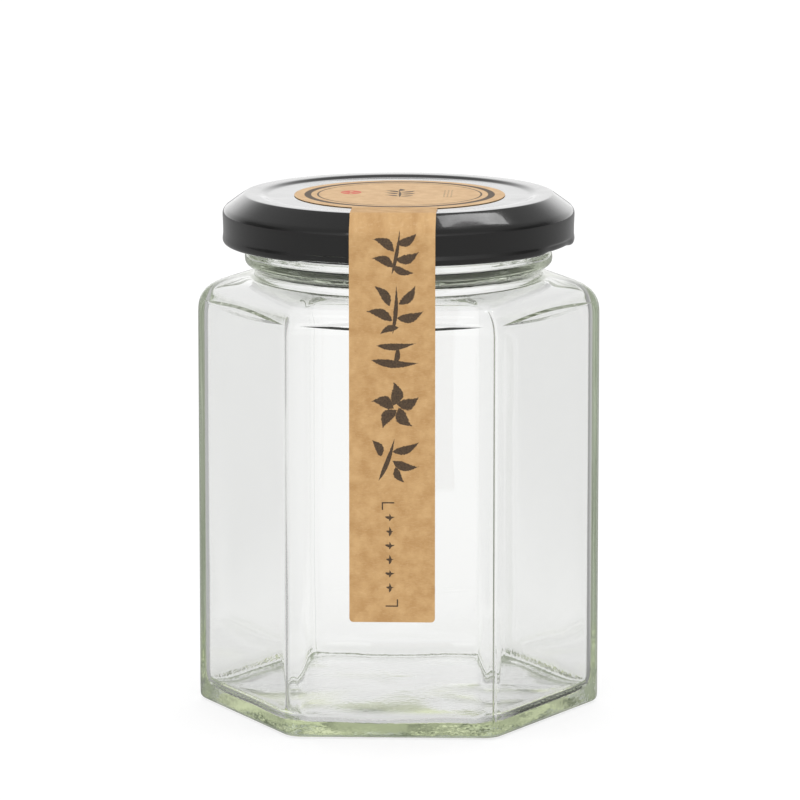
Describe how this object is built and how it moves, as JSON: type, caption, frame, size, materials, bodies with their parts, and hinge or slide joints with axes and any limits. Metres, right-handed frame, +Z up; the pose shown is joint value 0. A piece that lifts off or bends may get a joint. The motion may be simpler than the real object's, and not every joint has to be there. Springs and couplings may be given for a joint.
{
  "type": "hexagonal glass jar",
  "caption": "Empty clear hexagonal glass jar with a black twist-off lug lid, a round kraft paper lid label and a kraft paper seal strip folded down the front.",
  "frame": {"origin": "centre of the footprint, on the surface that the jar stands on", "axes": "+Z up along the jar's axis through the middle of the lid; -Y out of the front face that carries the seal strip; +X to the right when facing the front, through two opposite upright edges"},
  "size_m": [0.0756, 0.0669, 0.0977],
  "materials": {
    "clear_glass": "clear, faintly green, polished",
    "black_lacquer": "glossy black lacquer on pressed tinplate",
    "label_paper": "matt kraft paper, printed",
    "kraft_paper": "matt kraft paper, printed"
  },
  "bodies": {
    "root": {"glass_jar": "clear_glass", "lid": "black_lacquer", "top_label": "label_paper", "seal_strip": "kraft_paper"}
  },
  "joints": []
}
